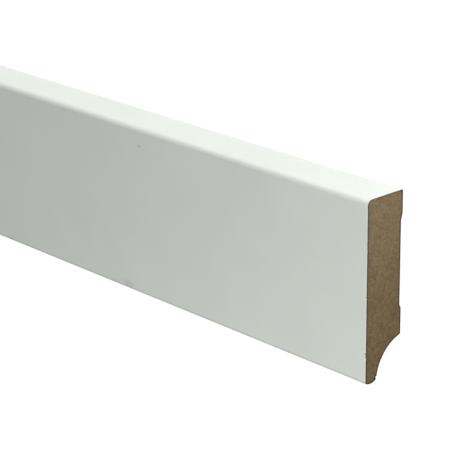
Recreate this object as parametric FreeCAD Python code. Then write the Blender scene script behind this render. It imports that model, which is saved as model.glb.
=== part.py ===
# Skirting board length, moulded from one piece of fibreboard
# It lies on its back: X runs along the board, Y from the floor edge to the top edge, Z out of the wall to the front face
# All lengths are in millimetres

import math
import os

import FreeCAD
import Part

# Stock size
BOARD_LENGTH = 2400.0
BOARD_HEIGHT = 70.0
BOARD_THICKNESS = 18.0

# Top edge
TOP_EDGE_RADIUS = 2.0
BACK_ARRIS_RADIUS = 0.5

# Wall side, from the top down: upper pad, shallow recess between two sloped shoulders, lower pad
UPPER_PAD_HEIGHT = 8.8
UPPER_SHOULDER_RUN = 2.8
RECESS_DEPTH = 0.75
LOWER_SHOULDER_RUN = 1.6
LOWER_PAD_HEIGHT = 10.0

# Foot, the narrow lip that stands on the floor with a crowned underside
FOOT_THICKNESS = 5.3
FOOT_CROWN = 0.7
FOOT_BACK_HEIGHT = 2.0
FOOT_ARRIS_RADIUS = 0.3

# Cable cove, a quarter round hollow between the foot and the lower pad
COVE_RADIUS = 15.7
COVE_AXIS_DROP = 0.4
COVE_STEP = 0.35
COVE_ARRIS_RADIUS = 0.4

# Cove axis, set back so that the hollow clears the back of the foot by the step
COVE_AXIS_DEPTH = FOOT_THICKNESS + COVE_STEP + COVE_RADIUS


def at(depth, height):
    """Return the point of the left end at a depth behind the front face and a height above the floor."""
    return FreeCAD.Vector(-BOARD_LENGTH / 2, height - BOARD_HEIGHT / 2, BOARD_THICKNESS - depth)


def cove_height(depth):
    """Return the height of the cove's surface above the floor at a depth behind the front face."""
    return math.sqrt(COVE_RADIUS ** 2 - (COVE_AXIS_DEPTH - depth) ** 2) - COVE_AXIS_DROP


def cove_depth(height):
    """Return the depth of the cove's surface behind the front face at a height above the floor."""
    return COVE_AXIS_DEPTH - math.sqrt(COVE_RADIUS ** 2 - (COVE_AXIS_DROP + height) ** 2)


def straight_run(corners):
    """Return the straight edges that join the corners in order."""
    return [Part.makeLine(start, end) for start, end in zip(corners[:-1], corners[1:])]


def arc(start, through, end):
    """Return the circular edge from start to end through a third point."""
    return Part.Arc(start, through, end).toShape()


# Heights of the wall side, stacked on the cove's upper rim and hung from the top edge
COVE_RIM_HEIGHT = cove_height(BOARD_THICKNESS)
LOWER_PAD_TOP = COVE_RIM_HEIGHT + LOWER_PAD_HEIGHT
RECESS_BOTTOM = LOWER_PAD_TOP + LOWER_SHOULDER_RUN
UPPER_PAD_BOTTOM = BOARD_HEIGHT - UPPER_PAD_HEIGHT
RECESS_TOP = UPPER_PAD_BOTTOM - UPPER_SHOULDER_RUN
RECESS_BACK = BOARD_THICKNESS - RECESS_DEPTH

# Corners of the section that are eased along the whole length
TOP_FRONT_CORNER = at(0.0, BOARD_HEIGHT)
TOP_BACK_CORNER = at(BOARD_THICKNESS, BOARD_HEIGHT)
COVE_RIM_CORNER = at(BOARD_THICKNESS, COVE_RIM_HEIGHT)
FOOT_BACK_CORNER = at(FOOT_THICKNESS, FOOT_CROWN)
FOOT_FRONT_CORNER = at(0.0, FOOT_CROWN)


def section():
    """Return the closed section of the board as a face at its left end."""
    foot_top = at(FOOT_THICKNESS, FOOT_BACK_HEIGHT)
    cove_foot = at(cove_depth(FOOT_BACK_HEIGHT), FOOT_BACK_HEIGHT)

    # Point halfway round the cove, on the line from its axis up and forward at 45 degrees
    diagonal = COVE_RADIUS * math.sin(math.radians(45.0))
    cove_middle = at(COVE_AXIS_DEPTH - diagonal, diagonal - COVE_AXIS_DROP)

    edges = straight_run([
        FOOT_FRONT_CORNER,
        TOP_FRONT_CORNER,
        TOP_BACK_CORNER,
        at(BOARD_THICKNESS, UPPER_PAD_BOTTOM),
        at(RECESS_BACK, RECESS_TOP),
        at(RECESS_BACK, RECESS_BOTTOM),
        at(BOARD_THICKNESS, LOWER_PAD_TOP),
        COVE_RIM_CORNER,
    ])
    edges.append(arc(COVE_RIM_CORNER, cove_middle, cove_foot))
    edges.extend(straight_run([cove_foot, foot_top, FOOT_BACK_CORNER]))
    edges.append(arc(FOOT_BACK_CORNER, at(FOOT_THICKNESS / 2, 0.0), FOOT_FRONT_CORNER))
    return Part.Face(Part.Wire(edges))


def long_edges(solid, corners):
    """Return the edges that run the board's length through the given corners of the section."""
    along = FreeCAD.Vector(BOARD_LENGTH, 0.0, 0.0)
    found = []
    for corner in corners:
        line = Part.makeLine(corner, corner + along)
        middle = corner + along / 2
        matches = [edge for edge in solid.Edges if edge.distToShape(Part.Vertex(middle))[0] < 1e-4]
        found.extend(edge for edge in matches if abs(edge.Length - line.Length) < 1e-4)
    return found


def skirting_board():
    """Return the board: its section swept along the length, with each corner eased."""
    board = section().extrude(FreeCAD.Vector(BOARD_LENGTH, 0.0, 0.0))
    eased = [
        (TOP_EDGE_RADIUS, [TOP_FRONT_CORNER]),
        (BACK_ARRIS_RADIUS, [TOP_BACK_CORNER]),
        (COVE_ARRIS_RADIUS, [COVE_RIM_CORNER]),
        (FOOT_ARRIS_RADIUS, [FOOT_BACK_CORNER, FOOT_FRONT_CORNER]),
    ]
    for radius, corners in eased:
        board = board.makeFillet(radius, long_edges(board, corners))
    return board


os.makedirs("parts", exist_ok=True)
skirting_board().exportStep("parts/skirting_board.step")
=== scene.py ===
"""Skirting board length: a white coated fibreboard moulding that lies on its back on a plain pale floor."""

import logging
from collections.abc import Iterator
from dataclasses import dataclass, field
from enum import Enum

import bpy
import numpy as np
from bpy.types import Material, Node, NodeSocket, NodeTree, Object
from mathutils import Matrix, Vector


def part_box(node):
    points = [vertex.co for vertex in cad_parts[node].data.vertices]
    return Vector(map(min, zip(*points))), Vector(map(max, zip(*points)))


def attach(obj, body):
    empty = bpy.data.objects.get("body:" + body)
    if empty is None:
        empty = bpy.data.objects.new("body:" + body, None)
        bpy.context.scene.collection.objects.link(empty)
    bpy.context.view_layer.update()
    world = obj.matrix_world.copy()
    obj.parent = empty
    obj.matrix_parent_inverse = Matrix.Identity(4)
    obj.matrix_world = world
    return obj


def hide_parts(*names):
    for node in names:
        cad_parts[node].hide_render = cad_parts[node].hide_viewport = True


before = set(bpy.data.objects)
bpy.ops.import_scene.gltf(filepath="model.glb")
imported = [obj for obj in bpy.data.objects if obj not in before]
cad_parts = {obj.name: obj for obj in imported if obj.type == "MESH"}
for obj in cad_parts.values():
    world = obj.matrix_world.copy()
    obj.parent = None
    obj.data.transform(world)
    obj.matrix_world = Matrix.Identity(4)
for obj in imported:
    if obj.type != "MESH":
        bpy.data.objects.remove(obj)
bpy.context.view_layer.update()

LOG = logging.getLogger("skirting_board")
MM = 0.001
NodeValue = float | tuple | NodeSocket

# Stock size in mm, read to a tenth because the solid's facets cut a hundredth off the crowned foot
LENGTH, HEIGHT, THICKNESS = (round((high - low) / MM, 1) for low, high in zip(*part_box("skirting_board")))

# Sockets of a Mix node that mixes colours, by number because their names repeat for its other types
SHARE, UNDER, OVER, MIXED = 0, 6, 7, 2

WHITE = (1.0, 1.0, 1.0, 1.0)


class Surface(Enum):
    """Finishes of the board, numbered as the material slots of its mesh."""

    COATED = 0
    SANDED = 1
    SAWN = 2


class Lamp(Enum):
    """Places of the soft lamps round the board."""

    KEY = "key_beyond_top_edge"
    END = "end_from_above"
    END_TOP = "end_close_above"
    NEAR = "near_over_seen_end"
    NEAR_LOW = "near_low_over_seen_end"
    MIDDLE = "middle_low_over_length"
    FAR = "far_over_length"
    FAR_END = "far_end"
    FOOT = "foot_side"


def linear_colour(code: str) -> tuple[float, float, float, float]:
    """Turn an sRGB hex code into a linear colour.

    Each channel follows the sRGB curve: a straight line near black, and a power of 2.4 above it.

    Args:
        code: Six hex digits after a hash.

    Returns:
        Red, green and blue in linear light, and an alpha of 1.
    """
    channels = [int(code[start : start + 2], 16) / 255 for start in (1, 3, 5)]
    red, green, blue = (c / 12.92 if c <= 0.04045 else ((c + 0.055) / 1.055) ** 2.4 for c in channels)
    return red, green, blue, 1.0


def add_node(
    tree: NodeTree,
    kind: str,
    inputs: dict[str | int, NodeValue] | None = None,
    **settings: str,
) -> Node:
    """Add a node, set its properties, and fill or link its inputs.

    Args:
        tree: Node tree that takes the node.
        kind: Blender's type name of the node.
        inputs: Inputs by name or number, each with a value or with the output to link.
        settings: Properties of the node by name.

    Returns:
        The new node.
    """
    node = tree.nodes.new(kind)
    for name, value in settings.items():
        setattr(node, name, value)
    for name, value in (inputs or {}).items():
        if isinstance(value, NodeSocket):
            tree.links.new(value, node.inputs[name])
        else:
            node.inputs[name].default_value = value
    return node


def smooth_step(t: np.ndarray) -> np.ndarray:
    """Return 3t^2 - 2t^3, with t held between 0 and 1."""
    held = np.clip(t, 0, 1)
    return held * held * (3 - 2 * held)


def value_noise(u: np.ndarray, v: np.ndarray, cell: float, seed: int) -> np.ndarray:
    """Return smooth noise from 0 to 1 over a plane.

    A seeded table of random values sits on a square grid. Between grid points the value runs
    along 3t^2 - 2t^3 in both directions, and the table repeats after 64 cells.

    Args:
        u: First coordinate.
        v: Second coordinate, of the same shape.
        cell: Distance between grid points, in the coordinates' unit.
        seed: Seed of the table.

    Returns:
        Noise of the same shape as the coordinates.
    """
    cells = 64
    table = np.random.default_rng(seed).random((cells, cells))
    column = np.floor(u / cell)
    row = np.floor(v / cell)
    across = smooth_step(u / cell - column)
    along = smooth_step(v / cell - row)
    i = column.astype(int) % cells
    j = row.astype(int) % cells
    next_i = (i + 1) % cells
    next_j = (j + 1) % cells
    low = table[i, j] * (1 - across) + table[next_i, j] * across
    high = table[i, next_j] * (1 - across) + table[next_i, next_j] * across
    return low * (1 - along) + high * along


def circle(centre: tuple[float, float], radius: float, start: float, end: float, steps: int) -> np.ndarray:
    """Return points on a circular arc.

    Each is the centre plus the radius times the cosine and sine of its angle, at even steps of angle.

    Args:
        centre: Depth and height of the arc's centre, in mm.
        radius: Radius in mm.
        start: First angle in degrees, from the depth axis towards the height axis.
        end: Last angle in degrees.
        steps: Number of points.

    Returns:
        Array of points, one row of depth and height each.
    """
    angles = np.radians(np.linspace(start, end, steps))
    depth = centre[0] + radius * np.cos(angles)
    height = centre[1] + radius * np.sin(angles)
    return np.stack([depth, height], axis=1)


def eased_corner(before: tuple, corner: tuple, after: tuple, radius: float, steps: int = 6) -> np.ndarray:
    """Return the points of a rounding that replaces a corner.

    The rounding is a quadratic curve from one tangent point, past the corner, to the other:
    (1-t)^2 times the first, plus 2t(1-t) times the corner, plus t^2 times the last.

    Args:
        before: Point that gives the direction into the corner.
        corner: The corner itself.
        after: Point that gives the direction out of the corner.
        radius: Radius of the rounding, in mm.
        steps: Number of points.

    Returns:
        Array of points, one row of depth and height each.
    """
    tip = np.array(corner, float)
    into = np.array(before, float) - tip
    out = np.array(after, float) - tip
    into /= np.linalg.norm(into)
    out /= np.linalg.norm(out)
    reach = radius / np.tan(np.arccos(np.clip(into @ out, -1, 1)) / 2)
    t = np.linspace(0, 1, steps)[:, None]
    return (1 - t) ** 2 * (tip + reach * into) + 2 * t * (1 - t) * tip + t**2 * (tip + reach * out)


@dataclass(frozen=True)
class CoatedFinish:
    """Satin acrylic coating: an off-white sprayed film, sealed and lightly sanded, with a fine orange peel.

    Clouds are the uneven passes of the spray. The band at the cuts is how far before a cut the pale
    burr of film, drawn with a painted highlight, starts and is full, and the foot shade band how far
    above the floor edge the painted shade starts to fade and ends. A mark is its place along X and Y,
    its radius, and its share of the mark's colour, and it is twice as long as high.
    """

    colour: str = "#E7EDE5"
    # Pale burr of film at the cuts, also a painted highlight there
    lifted_film_highlight_colour: str = "#F5F1E4"
    # Painted shade along the floor edge
    foot_shade_colour: str = "#A9ABA3"
    fibre_colour: str = "#6E5C40"
    mark_colour: str = "#8F938C"
    roughness: float = 0.42
    roughness_spread: float = 0.05
    ior: float = 1.5
    cloud_mm: float = 38.0
    cloud_tone: tuple[float, float] = (0.97, 1.02)
    lifted_highlight_band_mm: tuple[float, float] = (0.9, 0.3)
    lifted_highlight_share: float = 0.8
    foot_shade_band_mm: tuple[float, float] = (0.9, 1.8)
    foot_shade_share: float = 0.45
    peel_mm: float = 1.7
    peel_depth_mm: float = 0.007
    mark_edge: tuple[float, float] = (0.3, 1.3)
    marks_mm: tuple[tuple[float, float, float, float], ...] = (
        (1078.1, 27.4, 0.55, 0.42),
        (1069.0, -32.8, 1.8, 0.24),
        (990.5, -33.8, 1.6, 0.13),
    )

    def material(self) -> Material:
        """Build the coating's material.

        The film gives the eye an even, faintly green white with a soft sheen. It is a little lighter
        and warmer in the pale burr the saw raised at the ends, partly a painted highlight along the cut,
        greyer with painted shade along the floor edge, and shows fibre where a chip is gone.

        Returns:
            The material.
        """
        made = bpy.data.materials.new("satin_acrylic_coating")
        made.use_nodes = True
        tree = made.node_tree
        shader = tree.nodes["Principled BSDF"]
        shader.inputs["IOR"].default_value = self.ior
        place = add_node(tree, "ShaderNodeTexCoord").outputs["Object"]
        axes = add_node(tree, "ShaderNodeSeparateXYZ", {0: place})

        cloud = add_node(
            tree, "ShaderNodeTexNoise", {"Vector": place, "Scale": 1 / (self.cloud_mm * MM), "Detail": 3.0}
        )
        darkest, lightest = self.cloud_tone
        tone = add_node(
            tree,
            "ShaderNodeMapRange",
            {
                "Value": cloud.outputs["Fac"],
                "From Min": 0.3,
                "From Max": 0.7,
                "To Min": darkest,
                "To Max": lightest,
            },
        )
        film = add_node(
            tree,
            "ShaderNodeMix",
            {SHARE: 1.0, UNDER: linear_colour(self.colour), OVER: tone.outputs["Result"]},
            data_type="RGBA",
            blend_type="MULTIPLY",
        )
        bare = add_node(tree, "ShaderNodeAttribute", attribute_name="bare")
        layers = [
            # Pale burr of film at the cuts, partly a painted highlight along the cut
            (self.lifted_film_and_highlight(tree, axes.outputs["X"]), self.lifted_film_highlight_colour),
            # Painted shade along the floor edge
            (self.painted_foot_shade(tree, axes.outputs["Y"]), self.foot_shade_colour),
            *((share, self.mark_colour) for share in self.marks(tree, place)),
            (bare.outputs["Fac"], self.fibre_colour),
        ]
        for share, colour in layers:
            film = add_node(
                tree,
                "ShaderNodeMix",
                {SHARE: share, UNDER: film.outputs[MIXED], OVER: linear_colour(colour)},
                data_type="RGBA",
            )
        tree.links.new(film.outputs[MIXED], shader.inputs["Base Color"])

        sheen = add_node(
            tree,
            "ShaderNodeMapRange",
            {
                "Value": cloud.outputs["Fac"],
                "To Min": self.roughness - self.roughness_spread,
                "To Max": self.roughness + self.roughness_spread,
            },
        )
        tree.links.new(sheen.outputs["Result"], shader.inputs["Roughness"])

        peel = add_node(
            tree, "ShaderNodeTexNoise", {"Vector": place, "Scale": 1 / (self.peel_mm * MM), "Detail": 2.0}
        )
        bump = add_node(
            tree, "ShaderNodeBump", {"Height": peel.outputs["Fac"], "Distance": self.peel_depth_mm * MM}
        )
        tree.links.new(bump.outputs["Normal"], shader.inputs["Normal"])
        return made

    def lifted_film_and_highlight(self, tree: NodeTree, along: NodeSocket) -> NodeSocket:
        """Find the pale burr the saw raised, and its painted highlight, in the last millimetre before
        either cut.

        Args:
            tree: Node tree of the material.
            along: Place along the board.

        Returns:
            Share of pale burr and painted highlight.
        """
        from_middle = add_node(tree, "ShaderNodeMath", {0: along}, operation="ABSOLUTE")
        start, full = (LENGTH / 2 - before for before in self.lifted_highlight_band_mm)
        lifted_highlight = add_node(
            tree,
            "ShaderNodeMapRange",
            {
                "Value": from_middle.outputs[0],
                "From Min": start * MM,
                "From Max": full * MM,
                "To Max": self.lifted_highlight_share,
            },
        )
        return lifted_highlight.outputs["Result"]

    def painted_foot_shade(self, tree: NodeTree, height: NodeSocket) -> NodeSocket:
        """Find the painted shade along the floor edge: a greyer band where the board turns under.

        Args:
            tree: Node tree of the material.
            height: Place from the floor edge to the top edge.

        Returns:
            Share of painted shade.
        """
        full, end = (-HEIGHT / 2 + above for above in self.foot_shade_band_mm)
        foot_shade = add_node(
            tree,
            "ShaderNodeMapRange",
            {
                "Value": height,
                "From Min": full * MM,
                "From Max": end * MM,
                "To Min": self.foot_shade_share,
                "To Max": 0.0,
            },
            interpolation_type="SMOOTHSTEP",
        )
        return foot_shade.outputs["Result"]

    def marks(self, tree: NodeTree, place: NodeSocket) -> Iterator[NodeSocket]:
        """Draw a grain of dust in the film and two soft scuffs by the floor edge.

        Lengths along the board are halved, so that a round mark comes out twice as long as high.

        Args:
            tree: Node tree of the material.
            place: Object coordinates.

        Yields:
            Share of each mark.
        """
        full, end = self.mark_edge
        short = add_node(tree, "ShaderNodeVectorMath", {0: place, 1: (0.5, 1.0, 1.0)}, operation="MULTIPLY")
        for along, height, radius, strength in self.marks_mm:
            gap = add_node(
                tree,
                "ShaderNodeVectorMath",
                {0: short.outputs["Vector"], 1: (0.5 * along * MM, height * MM, THICKNESS * MM)},
                operation="DISTANCE",
            )
            mark = add_node(
                tree,
                "ShaderNodeMapRange",
                {
                    "Value": gap.outputs["Value"],
                    "From Min": full * radius * MM,
                    "From Max": end * radius * MM,
                    "To Min": strength,
                    "To Max": 0.0,
                },
                interpolation_type="SMOOTHSTEP",
            )
            yield mark.outputs["Result"]


@dataclass(frozen=True)
class FibreboardFinish:
    """Medium density fibreboard: pressed wood fibre, a felt of light and dark strands with no grain.

    A fibre is 0.02 to 0.05 mm thick and too fine to show, so the felt is drawn as clumps about a
    millimetre wide and as flecks twice that. A face that wasn't planed has no knife marks, and one that
    the spray didn't reach has no dust.
    """

    name: str
    colour: str
    dark_fibre: str
    light_fibre: str
    # Burnished rim, drawn darker also as painted shade along the cut's edge
    rim_and_shade_colour: str
    # Painted shade inside the torn pits
    pit_shade_colour: str = "#15100A"
    dust_colour: str = "#E7ECE5"
    felt_mm: float = 0.9
    felt_share: float = 0.68
    felt_depth_mm: float = 0.05
    fleck_mm: float = 2.1
    fleck_share: float = 0.45
    roughness: float = 0.88
    ior: float = 1.45
    knife_pitch_mm: float = 0.0
    knife_depth_mm: float = 0.006
    dust_mm: float = 0.0
    dust_share: float = 0.8
    ragged_mm: float = 6.0
    dust_waver: float = 1.2

    def material(self) -> Material:
        """Build the bare board's material.

        Fine felt gives the eye an even brown mottle, larger flecks give darker spots, and the surface is
        dull. The saw burnishes a darker line round its cut, which also holds painted shade along the edge,
        and a torn pit is painted dark inside as shade. A planed face adds shallow knife marks across the
        board.

        Returns:
            The material.
        """
        made = bpy.data.materials.new(self.name)
        made.use_nodes = True
        tree = made.node_tree
        shader = tree.nodes["Principled BSDF"]
        shader.inputs["IOR"].default_value = self.ior
        shader.inputs["Roughness"].default_value = self.roughness
        place = add_node(tree, "ShaderNodeTexCoord").outputs["Object"]

        felt = add_node(
            tree,
            "ShaderNodeTexNoise",
            {"Vector": place, "Scale": 1 / (self.felt_mm * MM), "Detail": 5.0, "Roughness": 0.65},
        )
        strand = add_node(
            tree,
            "ShaderNodeMapRange",
            {"Value": felt.outputs["Fac"], "From Min": 0.32, "From Max": 0.68},
        )
        fibres = add_node(
            tree,
            "ShaderNodeMix",
            {
                SHARE: strand.outputs["Result"],
                UNDER: linear_colour(self.dark_fibre),
                OVER: linear_colour(self.light_fibre),
            },
            data_type="RGBA",
        )
        body = add_node(
            tree,
            "ShaderNodeMix",
            {SHARE: self.felt_share, UNDER: linear_colour(self.colour), OVER: fibres.outputs[MIXED]},
            data_type="RGBA",
        )
        fleck = add_node(
            tree,
            "ShaderNodeTexNoise",
            {"Vector": place, "Scale": 1 / (self.fleck_mm * MM), "Detail": 4.0, "Distortion": 0.6},
        )
        spot = add_node(
            tree,
            "ShaderNodeMapRange",
            {"Value": fleck.outputs["Fac"], "From Min": 0.5, "From Max": 0.68, "To Max": self.fleck_share},
            interpolation_type="SMOOTHSTEP",
        )
        rim = add_node(tree, "ShaderNodeAttribute", attribute_name="burnish_and_shade")
        pit = add_node(tree, "ShaderNodeAttribute", attribute_name="pit")
        layers = [
            (spot.outputs["Result"], self.dark_fibre),
            (rim.outputs["Fac"], self.rim_and_shade_colour),
            # Torn pits are painted near black as shade
            (pit.outputs["Fac"], self.pit_shade_colour),
        ]
        if self.dust_mm:
            layers.append((self.dust(tree, place), self.dust_colour))
        for share, colour in layers:
            body = add_node(
                tree,
                "ShaderNodeMix",
                {SHARE: share, UNDER: body.outputs[MIXED], OVER: linear_colour(colour)},
                data_type="RGBA",
            )
        tree.links.new(body.outputs[MIXED], shader.inputs["Base Color"])

        relief = add_node(
            tree, "ShaderNodeBump", {"Height": felt.outputs["Fac"], "Distance": self.felt_depth_mm * MM}
        )
        if self.knife_pitch_mm:
            relief = self.knife_marks(tree, place, relief)
        tree.links.new(relief.outputs["Normal"], shader.inputs["Normal"])
        return made

    def dust(self, tree: NodeTree, place: NodeSocket) -> NodeSocket:
        """Feather coating dust over the bare back below the top edge, with a ragged lower margin.

        Args:
            tree: Node tree of the material.
            place: Object coordinates.

        Returns:
            Share of dust.
        """
        height = add_node(tree, "ShaderNodeSeparateXYZ", {0: place}).outputs["Y"]
        ragged = add_node(
            tree, "ShaderNodeTexNoise", {"Vector": place, "Scale": 1 / (self.ragged_mm * MM), "Detail": 4.0}
        )
        reach = self.dust_waver * self.dust_mm * MM
        shift = add_node(
            tree,
            "ShaderNodeMath",
            {0: ragged.outputs["Fac"], 1: 2 * reach, 2: -reach},
            operation="MULTIPLY_ADD",
        )
        drawn = add_node(tree, "ShaderNodeMath", {0: height, 1: shift.outputs[0]}, operation="ADD")
        dust = add_node(
            tree,
            "ShaderNodeMapRange",
            {
                "Value": drawn.outputs[0],
                "From Min": (HEIGHT / 2 - self.dust_mm) * MM,
                "From Max": HEIGHT / 2 * MM,
                "To Max": self.dust_share,
            },
            interpolation_type="SMOOTHSTEP",
        )
        return dust.outputs["Result"]

    def knife_marks(
        self, tree: NodeTree, place: NodeSocket, relief: Node
    ) -> Node:
        """Lay the planer's knife marks over the felt's relief: shallow waves along the board.

        Args:
            tree: Node tree of the material.
            place: Object coordinates.
            relief: Node that gives the felt's relief.

        Returns:
            Node that gives both reliefs.
        """
        # A wave texture repeats every 0.314 of its own unit
        knife = add_node(
            tree,
            "ShaderNodeTexWave",
            {"Vector": place, "Scale": 0.314 / (self.knife_pitch_mm * MM), "Distortion": 0.4},
            bands_direction="X",
        )
        return add_node(
            tree,
            "ShaderNodeBump",
            {
                "Height": knife.outputs["Fac"],
                "Distance": self.knife_depth_mm * MM,
                "Normal": relief.outputs["Normal"],
            },
        )


@dataclass
class Section:
    """Section of the board: depth behind the front face against height above the floor, in mm.

    The grid takes one depth for each height, so the level land behind the foot is drawn land_drop
    out of level. The outline's arcs and the grid's rows each have their own number of steps.
    """

    height: float = HEIGHT
    thickness: float = THICKNESS
    top_radius: float = 2.0
    back_arris: float = 0.5
    upper_pad: float = 8.8
    upper_shoulder: float = 2.8
    recess_depth: float = 0.75
    lower_shoulder: float = 1.6
    lower_pad: float = 10.0
    foot_thickness: float = 5.3
    foot_crown: float = 0.7
    foot_back: float = 2.0
    foot_arris: float = 0.3
    cove_radius: float = 15.7
    cove_drop: float = 0.4
    cove_step: float = 0.35
    cove_arris: float = 0.4
    land_drop: float = 0.001
    crown_steps: int = 14
    cove_steps: int = 60
    top_steps: int = 24
    arris_steps: int = 8
    crown_rows: int = 12
    cove_rows: int = 56
    row_spacing: float = 0.28
    rim_band: tuple[float, float] = (0.3, 0.6)
    cove_axis: float = field(init=False)
    rim: float = field(init=False)
    lower_pad_top: float = field(init=False)
    recess_bottom: float = field(init=False)
    upper_pad_bottom: float = field(init=False)
    recess_top: float = field(init=False)
    crown_radius: float = field(init=False)
    crown_angle: float = field(init=False)

    def __post_init__(self) -> None:
        """Work out the cove's axis, its rim, the wall side's levels and the foot's crown from the sizes."""
        self.cove_axis = self.foot_thickness + self.cove_step + self.cove_radius
        rise = np.sqrt(self.cove_radius**2 - (self.cove_axis - self.thickness) ** 2)
        self.rim = float(rise) - self.cove_drop
        self.lower_pad_top = self.rim + self.lower_pad
        self.recess_bottom = self.lower_pad_top + self.lower_shoulder
        self.upper_pad_bottom = self.height - self.upper_pad
        self.recess_top = self.upper_pad_bottom - self.upper_shoulder
        half = self.foot_thickness / 2
        self.crown_radius = (half**2 + self.foot_crown**2) / (2 * self.foot_crown)
        self.crown_angle = float(np.degrees(np.arcsin(half / self.crown_radius)))

    def foot(self, side: int) -> np.ndarray:
        """Return half of the foot's outline: its underside from the middle outwards, and its eased corner.

        Args:
            side: -1 for the front half and 1 for the wall half.

        Returns:
            Array of points, one row of depth and height each.
        """
        half = self.foot_thickness / 2
        turn = side * self.crown_angle
        crown = circle((half, self.crown_radius), self.crown_radius, -90, -90 + turn, self.crown_steps)
        corner = (half + side * half, self.foot_crown)
        eased = eased_corner(tuple(crown[-2]), corner, (corner[0], self.foot_back), self.foot_arris)
        return np.concatenate([crown[crown[:, 1] < eased[0, 1]], eased])

    def front_line(self) -> np.ndarray:
        """Return the front outline, from the middle of the foot's underside up to the top land.

        Returns:
            Array of points, one row of depth and height each.
        """
        centre = (self.top_radius, self.height - self.top_radius)
        return np.concatenate([self.foot(-1), circle(centre, self.top_radius, 180, 90, self.top_steps)])

    def back_line(self) -> np.ndarray:
        """Return the wall side outline, from the middle of the foot's underside up to the top land.

        Returns:
            Array of points, one row of depth and height each.
        """
        land = np.array([(self.foot_thickness, self.foot_back - self.land_drop)])
        low, high = (
            180 - np.degrees(np.arcsin((height + self.cove_drop) / self.cove_radius))
            for height in (self.foot_back, self.rim)
        )
        cove = circle((self.cove_axis, -self.cove_drop), self.cove_radius, low, high, self.cove_steps)
        corner = (self.thickness, self.rim)
        rim = eased_corner(tuple(cove[-2]), corner, (self.thickness, self.height), self.cove_arris)
        back = self.thickness - self.recess_depth
        wall = np.array(
            [
                (self.thickness, self.lower_pad_top),
                (back, self.recess_bottom),
                (back, self.recess_top),
                (self.thickness, self.upper_pad_bottom),
            ]
        )
        centre = (self.thickness - self.back_arris, self.height - self.back_arris)
        top = circle(centre, self.back_arris, 0, 90, self.arris_steps)
        return np.concatenate([self.foot(1), land, cove[cove[:, 1] < rim[0, 1]], rim, wall, top])

    def levels(self) -> np.ndarray:
        """Return the heights of the grid's rows, close together where the outline turns.

        Arcs are cut at equal angles, so a height is a sine or a cosine of an evenly spaced angle.
        A straight stretch has a fixed number of rows, or rows at an even spacing.

        Returns:
            Rising heights.
        """
        turn = np.radians(np.linspace(0, self.crown_angle, self.crown_rows))
        crown = self.crown_radius * (1 - np.cos(turn))
        below, above = self.rim_band
        ends = np.arcsin((np.array([self.foot_back, self.rim - below]) + self.cove_drop) / self.cove_radius)
        cove = self.cove_radius * np.sin(np.linspace(*ends, self.cove_rows)) - self.cove_drop
        turn = np.radians(np.linspace(0, 90, self.top_steps))
        top = self.height - self.top_radius * (1 - np.sin(turn))
        counted = [
            (self.foot_crown, self.foot_back - self.land_drop, 5),
            (self.rim - below, self.rim + above, 6),
            (self.lower_pad_top, self.recess_bottom, 6),
            (self.recess_top, self.upper_pad_bottom, 9),
        ]
        spaced = [
            (self.rim + above, self.lower_pad_top),
            (self.recess_bottom, self.recess_top),
            (self.upper_pad_bottom, self.height - self.top_radius),
        ]
        runs = [np.linspace(low, high, count) for low, high, count in counted]
        for low, high in spaced:
            runs.append(np.linspace(low, high, int(np.ceil((high - low) / self.row_spacing)) + 1))
        return np.unique(np.round(np.concatenate([crown, cove, top, *runs]), 5))

    def grid(self, columns: int) -> np.ndarray:
        """Return the section as a grid: each row joins the front outline to the back at one height.

        Across a row the points sit half way between even steps and (1 - cos(pi t)) / 2, so they crowd
        towards both faces.

        Args:
            columns: Number of points from front to back.

        Returns:
            Array of rows by columns by depth and height.
        """
        levels = self.levels()
        front = self.front_line()
        back = self.back_line()
        front_depth = np.interp(levels, front[:, 1], front[:, 0])
        back_depth = np.interp(levels, back[:, 1], back[:, 0])
        t = np.linspace(0, 1, columns)
        share = 0.5 * t + 0.5 * (1 - np.cos(np.pi * t)) / 2
        depth = front_depth[:, None] * (1 - share) + back_depth[:, None] * share
        return np.stack([depth, np.repeat(levels[:, None], columns, axis=1)], axis=2)


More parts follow.
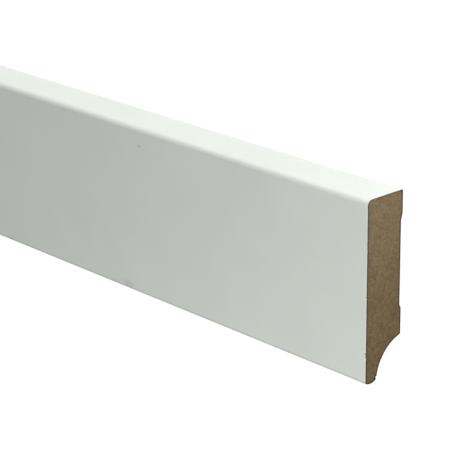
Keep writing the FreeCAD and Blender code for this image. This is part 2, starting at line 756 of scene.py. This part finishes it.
@dataclass(frozen=True)
class Chips:
    """Chips that the saw broke out of the front edge of one end, its pits, and a burr by the foot, in mm.

    A pit is its depth behind the front face, its height, its radius and how deep it is and how much
    painted shade fills it, from 0 to 1. The edge of the cut is ragged besides.
    """

    seed: int
    heights: tuple[float, ...]
    widths: tuple[float, ...]
    depths: tuple[float, ...]
    pits: tuple[tuple[float, float, float, float], ...] = ((5.05, 1.3, 0.45, 1.0), (17.1, 69.5, 0.5, 0.6))
    pit_steepness: float = 1.5
    burr_place: tuple[float, float] = (5.3, 1.15)
    burr_radius: float = 0.35
    burr_height: float = 0.22
    ragged_least: float = 0.01
    ragged_more: float = 0.05
    ragged_cell: float = 0.9
    front_band: float = 0.5

    def wear(self, outline: np.ndarray) -> np.ndarray:
        """Return how far the saw wore the edge of the cut back at each point of the outline, in mm.

        A ragged 0.01 to 0.06 mm from the square of noise along the outline, plus on the front a bell
        for each chip: its depth times exp(-((height - chip height) / chip width)^2). Behind the foot a
        burr stands out instead: its height times exp(-(distance / burr radius)^2).

        Args:
            outline: Points of depth and height round the section.

        Returns:
            Wear at each point.
        """
        along = np.concatenate([[0], np.cumsum(np.linalg.norm(np.diff(outline, axis=0), axis=1))])
        noise = value_noise(along, 0 * along, self.ragged_cell, self.seed)
        away = (outline[:, 1, None] - np.array(self.heights)) / np.array(self.widths)
        chipped = (np.array(self.depths) * np.exp(-(away**2))).sum(axis=1)
        from_burr = ((outline - np.array(self.burr_place)) ** 2).sum(axis=1) / self.burr_radius**2
        worn = self.ragged_least + self.ragged_more * noise**2
        worn += np.where(outline[:, 0] < self.front_band, chipped, 0)
        return worn - self.burr_height * np.exp(-from_burr)

    def pit(self, points: np.ndarray) -> np.ndarray:
        """Return the pits' depth from 0 to 1 at each point of the end.

        Each pit is its share times 1.5 exp(-(distance / radius)^2), cut off at its share.

        Args:
            points: Points of the end, as depth and height.

        Returns:
            Depth at each point.
        """
        depth, height, radius, share = np.array(self.pits).T
        squared = (points[:, :1] - depth) ** 2 + (points[:, 1:] - height) ** 2
        return (share * np.minimum(self.pit_steepness * np.exp(-squared / radius**2), 1)).max(axis=1)


@dataclass(frozen=True)
class SawCut:
    """What the saw does at a cut: it lifts the film, wears the edge, tears the fibre and rubs its rim.

    Lengths are in mm, and a share is from 0 to 1. The dark rim is burnished fibre and painted shade
    along the edge. Along the top edge the saw smears coating dust over it, which keeps only its dusted
    share there.
    """

    film_lift: float = 0.1
    lift_height: float = 3.0
    lift_margin: float = 0.5
    reach_by_wear: float = 2.2
    least_reach: float = 0.5
    bare_from: float = 0.12
    bare_span: float = 0.08
    edge_fade: float = 1.2
    torn_cells: tuple[float, float] = (0.8, 0.37)
    torn_seeds: tuple[int, int] = (22, 32)
    torn_depths: tuple[float, float] = (0.028, 0.0168)
    pit_depth: float = 0.22
    relief_fade: float = 0.3
    dark_rim_end: float = 0.85
    dark_rim_fade: float = 0.4
    dark_rim_share: float = 0.95
    dusted_from: float = 0.6
    dusted_margin: float = 1.0
    dusted_share: float = 0.4
    dense_depth: float = 3.0
    dense_share: float = 0.16


@dataclass
class SkirtingBoard:
    """The board: its section carried along the length, closed by two sawn ends with their own relief."""

    length: float = LENGTH
    section: Section = field(default_factory=Section)
    columns: int = 56
    near_cut: tuple[float, ...] = (0.0, 0.06, 0.14, 0.25, 0.4, 0.6, 0.9, 1.3, 2.0, 4.0, 10.0, 30.0)
    far_from_cut: float = 60.0
    far_stations: int = 24
    hair: float = 0.01
    sharp_from_degrees: float = 28.0
    coating: CoatedFinish = CoatedFinish()
    sanded: FibreboardFinish = FibreboardFinish(
        name="sanded_fibreboard",
        colour="#8C7A5B",
        dark_fibre="#7A684A",
        light_fibre="#9A8867",
        rim_and_shade_colour="#6C5B42",
        felt_depth_mm=0.02,
        knife_pitch_mm=1.4,
        dust_mm=2.4,
    )
    sawn: FibreboardFinish = FibreboardFinish(
        name="sawn_fibreboard",
        colour="#736040",
        dark_fibre="#53432A",
        light_fibre="#8E7752",
        rim_and_shade_colour="#3A3021",
    )
    cut: SawCut = SawCut()
    left_chips: Chips = Chips(
        seed=11,
        heights=(58.0, 18.5),
        widths=(0.6, 0.4),
        depths=(0.3, 0.25),
        pits=((9.0, 40.0, 0.2, 0.4),),
        burr_height=0.08,
    )
    right_chips: Chips = Chips(
        seed=7,
        heights=(52.1, 34.0, 12.2, 11.0, 7.1),
        widths=(0.5, 0.45, 0.8, 0.5, 0.4),
        depths=(0.32, 0.36, 0.38, 0.3, 0.28),
    )

    def loop(self, number: np.ndarray) -> np.ndarray:
        """Return the numbers of the grid's rim: up the front, over the top edge and down the back."""
        return np.concatenate([number[:, 0], number[-1, 1:], number[-2:0:-1, -1]])

    def inward(self, outline: np.ndarray) -> np.ndarray:
        """Return the outline's inward normals.

        Each is the direction from one neighbour to the other, turned a quarter.

        Args:
            outline: Points of depth and height round the section, up the front and down the back.

        Returns:
            One unit vector for each point.
        """
        ahead = np.roll(outline, -1, axis=0) - np.roll(outline, 1, axis=0)
        ahead /= np.linalg.norm(ahead, axis=1)[:, None]
        return np.stack([ahead[:, 1], -ahead[:, 0]], axis=1)

    def coated(self, depth: np.ndarray, height: np.ndarray) -> np.ndarray:
        """Return which parts of the outline are coated: the front, the top edge and the foot's underside.

        A hair, 0.01 mm, tells a depth on a face from one off it.

        Args:
            depth: Depths behind the front face.
            height: Heights above the floor.

        Returns:
            True for each coated part.
        """
        size = self.section
        front = depth < self.hair
        top = (height > size.height - size.top_radius) & (depth < size.thickness - 2 * self.hair)
        low = height < size.foot_crown + 2 * size.foot_arris
        return front | top | (low & (depth < size.foot_thickness - size.foot_arris))

    def moved(self, outline: np.ndarray, chips: Chips) -> np.ndarray:
        """Return how far the edge of a cut moves inwards at each point of the outline, in mm.

        That is the saw's wear, less the burr of film on the top edge. The burr rises evenly to its full
        0.1 mm over the last 3 mm of height, and fades out from 1.5 to 0.5 mm before the back.

        Args:
            outline: Points of depth and height round the section.
            chips: Chips of this end.

        Returns:
            Inward move at each point.
        """
        size, cut = self.section, self.cut
        film = self.coated(*outline.T)
        rise = np.clip((outline[:, 1] - size.height + cut.lift_height) / cut.lift_height, 0, 1)
        fade = np.clip(size.thickness - cut.lift_margin - outline[:, 0], 0, 1)
        return chips.wear(outline) - np.where(film, cut.film_lift * rise * fade, 0)

    def stations(self) -> np.ndarray:
        """Return the outline's places along the length, close together at the cuts.

        Returns:
            Rising distances from the left end, in mm.
        """
        near = np.array(self.near_cut)
        far = np.linspace(self.far_from_cut, self.length - self.far_from_cut, self.far_stations)
        return np.concatenate([near, far, self.length - near[::-1]])

    def skin(self, outline: np.ndarray, stations: np.ndarray) -> tuple[np.ndarray, np.ndarray]:
        """Carry the outline along the length, and lift and wear it at the cuts.

        A point moves inwards by the end's wear times 1 - s / reach, where s is its distance from the cut
        and the reach is 2.2 times the wear, at least 0.5 mm. Where it moved by more than 0.12 mm the
        film is gone.

        Args:
            outline: Points of depth and height round the section.
            stations: Places along the length.

        Returns:
            Stations by outline by place, depth and height, and the share of bare fibre at each.
        """
        cut = self.cut
        wear = np.stack([self.moved(outline, self.left_chips), self.moved(outline, self.right_chips)])
        worn = wear[(stations > self.length / 2).astype(int)]
        from_cut = np.minimum(stations, self.length - stations)[:, None]
        reach = np.maximum(cut.reach_by_wear * np.abs(worn), cut.least_reach)
        moved = worn * np.clip(1 - from_cut / reach, 0, 1)
        drawn = outline + self.inward(outline) * moved[..., None]
        along = np.broadcast_to((stations - self.length / 2)[:, None, None], (*moved.shape, 1))
        bare = np.clip((moved - cut.bare_from) / cut.bare_span, 0, 1)
        return np.concatenate([along, drawn], axis=2), bare

    def end(self, flat: np.ndarray, outline: np.ndarray, chips: Chips, side: int) -> dict[str, np.ndarray]:
        """Shape one sawn end.

        The section grid follows its worn outline: a point moves by its nearest outline point's wear,
        fading to nothing 1.2 mm in. The saw leaves two sizes of soft tearing, and the pits.

        Args:
            flat: Points of the section grid, as depth and height.
            outline: Points of the section's outline.
            chips: The end's chips and pits.
            side: 1 for the right end and -1 for the left.

        Returns:
            The points as place, depth and height, the share of burnished rim and painted shade at each, and
            the pits' depth.
        """
        cut = self.cut
        squared = (flat**2).sum(axis=1)[:, None] + (outline**2).sum(axis=1) - 2 * flat @ outline.T
        nearest = squared.argmin(axis=1)
        gap = np.linalg.norm(flat - outline[nearest], axis=1)
        shift = self.moved(outline, chips)[nearest] * np.clip(1 - gap / cut.edge_fade, 0, 1)
        moved = flat + self.inward(outline)[nearest] * shift[:, None]
        depth, height = flat.T
        pit = chips.pit(flat)
        relief = cut.pit_depth * pit
        for cell, seed, torn_depth in zip(cut.torn_cells, cut.torn_seeds, cut.torn_depths):
            relief += torn_depth * value_noise(depth, height, cell, seed + side)
        along = side * (self.length / 2 - relief * np.clip(gap / cut.relief_fade, 0, 1))
        burnish_and_shade = self.burnish_and_shade(gap, outline[nearest], depth)
        return {"points": np.column_stack([along, moved]), "burnish_and_shade": burnish_and_shade, "pit": pit}

    def burnish_and_shade(self, gap: np.ndarray, rim: np.ndarray, depth: np.ndarray) -> np.ndarray:
        """Return how dark the rim of the cut is drawn, burnished fibre with painted shade, from 0 to 1.

        Nearly full up to 0.45 mm from the outline and gone at 0.85 mm, along 3t^2 - 2t^3. On the top
        edge coating dust lies over it, so there it keeps two fifths, back to a millimetre before the
        corner. The board is pressed denser at its front face, which darkens the first 3 mm by up to a
        sixth along the same curve.

        Args:
            gap: Distance from the outline, in mm.
            rim: Nearest point of the outline.
            depth: Depth behind the front face, in mm.

        Returns:
            Share of the rim's colour at each point.
        """
        size, cut = self.section, self.cut
        above = rim[:, 1] > size.height - cut.dusted_from * size.top_radius
        dusted = above & (rim[:, 0] < size.thickness - cut.dusted_margin)
        # Burnished fibre with painted shade along the edge of the cut
        rubbed_and_shaded = cut.dark_rim_share * smooth_step((cut.dark_rim_end - gap) / cut.dark_rim_fade)
        dense = cut.dense_share * smooth_step(1 - depth / cut.dense_depth)
        return np.maximum(rubbed_and_shaded * np.where(dusted, cut.dusted_share, 1.0), dense)

    def end_faces(self, number: np.ndarray) -> tuple[np.ndarray, np.ndarray]:
        """Return the faces of the right end.

        Each has four corners, except along the lowest row, which is a single point and leaves triangles.

        Args:
            number: Numbers of the grid's points, by row and column.

        Returns:
            Rows of four corners, and rows of three.
        """
        corners = [number[:-1, :-1], number[:-1, 1:], number[1:, 1:], number[1:, :-1]]
        faces = np.stack(corners, axis=-1)
        return faces[1:].reshape(-1, 4), faces[0][:, [0, 2, 3]]

    def skin_faces(self, loop: np.ndarray, size: int, rings: int) -> np.ndarray:
        """Return the faces between the rings of the skin, which starts and ends on the rims of the ends.

        Args:
            loop: Numbers of the right end's rim.
            size: Number of points of one end.
            rings: Number of rings, the two rims among them.

        Returns:
            Rows of four corners, ring by ring.
        """
        between = 2 * size + np.arange((rings - 2) * len(loop)).reshape(rings - 2, len(loop))
        ring = np.concatenate([(loop + size)[None], between, loop[None]])
        following = np.roll(ring, -1, axis=1)
        return np.stack([ring[:-1], ring[1:], following[1:], following[:-1]], axis=-1).reshape(-1, 4)

    def build(self) -> Object:
        """Build the board's mesh and dress it.

        The points are the right end's grid, the left end's grid, and then the skin between the two
        cuts. The skin's first and last rings are the rims of the ends, so the shell is closed. The
        grid's first row is a single point, so its spare copies are dropped.

        Returns:
            The board's object, at the origin and unturned.
        """
        grid = self.section.grid(self.columns)
        flat = grid.reshape(-1, 2)
        size = len(flat)
        number = np.arange(size).reshape(grid.shape[:2])
        number[0, :] = 0
        loop = self.loop(number)
        outline = flat[loop]
        stations = self.stations()
        skin, bare = self.skin(outline, stations)
        right = self.end(flat, outline, self.right_chips, 1)
        left = self.end(flat, outline, self.left_chips, -1)
        points = np.concatenate([right["points"], left["points"], skin[1:-1].reshape(-1, 3)])

        no_saw = np.zeros(len(points) - 2 * size)
        values = {name: np.concatenate([right[name], left[name], no_saw]) for name in ("burnish_and_shade", "pit")}
        values["bare"] = np.concatenate([np.zeros(2 * size), bare[1:-1].ravel()])
        values["bare"][loop] = bare[-1]
        values["bare"][loop + size] = bare[0]

        around = self.skin_faces(loop, size, len(stations))
        cap, fan = self.end_faces(number)
        quads = np.concatenate([around, cap, cap[:, ::-1] + size])
        triangles = np.concatenate([fan, fan[:, ::-1] + size])
        middle = (outline + np.roll(outline, -1, axis=0)) / 2
        skin_slots = np.where(self.coated(*middle.T), Surface.COATED.value, Surface.SANDED.value)
        end_slots = np.full(len(quads) + len(triangles) - len(around), Surface.SAWN.value)
        slots = np.concatenate([np.tile(skin_slots, len(stations) - 1), end_slots])
        return self.dress(points, values, quads, triangles, slots)

    def dress(
        self,
        points: np.ndarray,
        values: dict[str, np.ndarray],
        quads: np.ndarray,
        triangles: np.ndarray,
        slots: np.ndarray,
    ) -> Object:
        """Make the board's object from its points and faces, and give it its finishes.

        Args:
            points: Points as place, depth and height, in mm, spare ones among them.
            values: What the materials read at each point, by name.
            quads: Faces with four corners.
            triangles: Faces with three corners.
            slots: Material slot of each face, the quads first.

        Returns:
            The board's object.
        """
        used = np.zeros(len(points), bool)
        used[quads] = True
        used[triangles] = True
        renumber = np.cumsum(used) - 1
        along, depth, height = points[used].T
        place = np.column_stack([along, height - self.section.height / 2, self.section.thickness - depth])
        mesh = bpy.data.meshes.new("skirting_board_finish")
        mesh.from_pydata((place * MM).tolist(), [], renumber[quads].tolist() + renumber[triangles].tolist())
        mesh.polygons.foreach_set("material_index", slots)
        for name, value in values.items():
            layer = mesh.attributes.new(name, "FLOAT", "POINT")
            layer.data.foreach_set("value", value[used].astype(np.float32))
        for finish in (self.coating, self.sanded, self.sawn):
            mesh.materials.append(finish.material())
        mesh.shade_smooth()
        mesh.set_sharp_from_angle(angle=np.radians(self.sharp_from_degrees))
        board = bpy.data.objects.new("skirting_board_finish", mesh)
        bpy.context.scene.collection.objects.link(board)
        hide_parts("skirting_board")
        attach(board, "root")
        return board


@dataclass
class SoftLamp:
    """One soft lamp: a panel that looks at a point of the board and is itself unseen. Metres and watts."""

    lamp: Lamp
    place: tuple[float, float, float]
    aim: tuple[float, float, float]
    width: float
    depth: float
    power: float
    colour: str = "#FFFFFF"

    def build(self) -> Object:
        """Build the lamp and turn it to its aim.

        Returns:
            The lamp's object.
        """
        data = bpy.data.lights.new(self.lamp.value, "AREA")
        data.shape = "RECTANGLE"
        data.size = self.width
        data.size_y = self.depth
        data.energy = self.power
        data.color = linear_colour(self.colour)[:3]
        made = bpy.data.objects.new(self.lamp.value, data)
        made.location = self.place
        made.rotation_euler = (Vector(self.aim) - Vector(self.place)).to_track_quat("-Z", "Y").to_euler()
        made.visible_camera = False
        bpy.context.scene.collection.objects.link(made)
        return made


@dataclass
class Studio:
    """Plain pale floor, soft lamps, an even sky and the camera at the photograph's place."""

    floor_half: float = 9.0
    floor_colour: str = "#E9E9E7"
    floor_glow: float = 0.93
    floor_shade: float = 0.25
    sky: float = 0.12
    lamps: tuple[SoftLamp, ...] = (
        SoftLamp(Lamp.KEY, (0.3, 2.8, 0.17), (0.3, 0.0, 0.0), 3.4, 0.3, 52.0),
        SoftLamp(Lamp.END, (1.45, 0.6, 0.3), (1.2, 0.0, 0.01), 0.4, 0.4, 1.56),
        SoftLamp(Lamp.END_TOP, (1.245, 0.034, 0.009), (1.2, 0.03, 0.009), 0.03, 0.016, 0.0115, "#DEEDFF"),
        SoftLamp(Lamp.NEAR, (1.3, -0.25, 0.3), (1.12, 0.0, 0.0), 0.3, 0.3, 0.61),
        SoftLamp(Lamp.NEAR_LOW, (1.35, -0.05, 0.2), (1.15, 0.0, 0.0), 0.25, 0.2, 0.112),
        SoftLamp(Lamp.MIDDLE, (0.7, 0.0, 0.09), (0.7, 0.0, 0.018), 0.38, 0.1, 0.031),
        SoftLamp(Lamp.FAR, (-0.35, -0.05, 0.25), (-0.35, 0.0, 0.01), 1.8, 0.3, 0.85),
        SoftLamp(Lamp.FAR_END, (-1.75, 0.3, 0.35), (-1.2, 0.0, 0.0), 0.4, 0.4, 2.0),
        SoftLamp(Lamp.FOOT, (0.0, -0.9, 0.7), (0.0, 0.0, 0.0), 3.2, 0.4, 3.3),
    )
    camera_place: tuple[float, float, float] = (1.636511, 0.257602, 0.486649)
    camera_right: tuple[float, float, float] = (0.679879, -0.011159, -0.73324)
    camera_forward: tuple[float, float, float] = (-0.692186, -0.339953, -0.636639)
    lens: float = 156.756
    sensor_width: float = 36.0
    farthest_seen: float = 50.0

    def seen_white(self, tree: NodeTree) -> NodeSocket:
        """Tell the rays that see the backdrop from the rays that light the board.

        Args:
            tree: Node tree of the floor or the sky.

        Returns:
            Socket that is 1 for rays from the camera, from gloss and through glass, and 0 for the rest.
        """
        path = add_node(tree, "ShaderNodeLightPath")
        seen = path.outputs["Is Camera Ray"]
        for ray in ("Is Glossy Ray", "Is Transmission Ray"):
            either = add_node(tree, "ShaderNodeMath", {0: seen, 1: path.outputs[ray]}, operation="MAXIMUM")
            seen = either.outputs[0]
        return seen

    def build_floor(self) -> Object:
        """Build the floor: a square in the plane of the board's back, white to the camera but still shaded.

        Returns:
            The floor's object.
        """
        reach = self.floor_half
        mesh = bpy.data.meshes.new("floor")
        corners = [(-reach, -reach, 0.0), (reach, -reach, 0.0), (reach, reach, 0.0), (-reach, reach, 0.0)]
        mesh.from_pydata(corners, [], [(0, 1, 2, 3)])
        made = bpy.data.materials.new("matt_white_floor")
        made.use_nodes = True
        tree = made.node_tree
        tree.nodes.remove(tree.nodes["Principled BSDF"])
        grey = (self.floor_shade, self.floor_shade, self.floor_shade, 1.0)
        pale = add_node(tree, "ShaderNodeBsdfDiffuse", {"Color": linear_colour(self.floor_colour)})
        shade = add_node(tree, "ShaderNodeBsdfDiffuse", {"Color": grey})
        glow = add_node(tree, "ShaderNodeEmission", {"Color": WHITE, "Strength": self.floor_glow})
        white = add_node(tree, "ShaderNodeAddShader", {0: shade.outputs[0], 1: glow.outputs[0]})
        mixed = add_node(
            tree, "ShaderNodeMixShader", {0: self.seen_white(tree), 1: pale.outputs[0], 2: white.outputs[0]}
        )
        tree.links.new(mixed.outputs[0], tree.nodes["Material Output"].inputs["Surface"])
        mesh.materials.append(made)
        floor = bpy.data.objects.new("floor", mesh)
        bpy.context.scene.collection.objects.link(floor)
        return floor

    def build_sky(self) -> None:
        """Build the world: an even pale light that the camera sees as white."""
        world = bpy.data.worlds.new("even_sky")
        bpy.context.scene.world = world
        world.use_nodes = True
        tree = world.node_tree
        seen = self.seen_white(tree)
        strength = add_node(tree, "ShaderNodeMapRange", {"Value": seen, "To Min": self.sky})
        background = tree.nodes["Background"]
        background.inputs["Color"].default_value = WHITE
        tree.links.new(strength.outputs["Result"], background.inputs["Strength"])

    def build_camera(self) -> Object:
        """Build the camera from its place and two of its axes; the third is their cross product.

        Returns:
            The camera's object.
        """
        right = Vector(self.camera_right).normalized()
        back = -Vector(self.camera_forward).normalized()
        up = back.cross(right).normalized()
        back = right.cross(up)
        turn = Matrix((right, up, back)).transposed()
        data = bpy.data.cameras.new("camera")
        data.lens = self.lens
        data.sensor_width = self.sensor_width
        data.clip_end = self.farthest_seen
        camera = bpy.data.objects.new("camera", data)
        camera.matrix_world = Matrix.Translation(self.camera_place) @ turn.to_4x4()
        bpy.context.scene.collection.objects.link(camera)
        bpy.context.scene.camera = camera
        return camera

    def build(self) -> None:
        """Build the floor, the sky, the lamps and the camera, and set the plain view transform."""
        self.build_floor()
        self.build_sky()
        for lamp in self.lamps:
            lamp.build()
            LOG.info("lamp: %s at %.3g W", lamp.lamp.value, lamp.power)
        self.build_camera()
        bpy.context.scene.view_settings.view_transform = "Standard"


def main() -> None:
    """Build the board and the studio, and log the piece's name and its number of faces."""
    logging.basicConfig(level=logging.INFO, format="%(name)s: %(message)s")
    board = SkirtingBoard().build()
    LOG.info("piece: %s, %d faces", board.name, len(board.data.polygons))
    Studio().build()
    LOG.info("studio built")


if __name__ == "__main__":
    main()
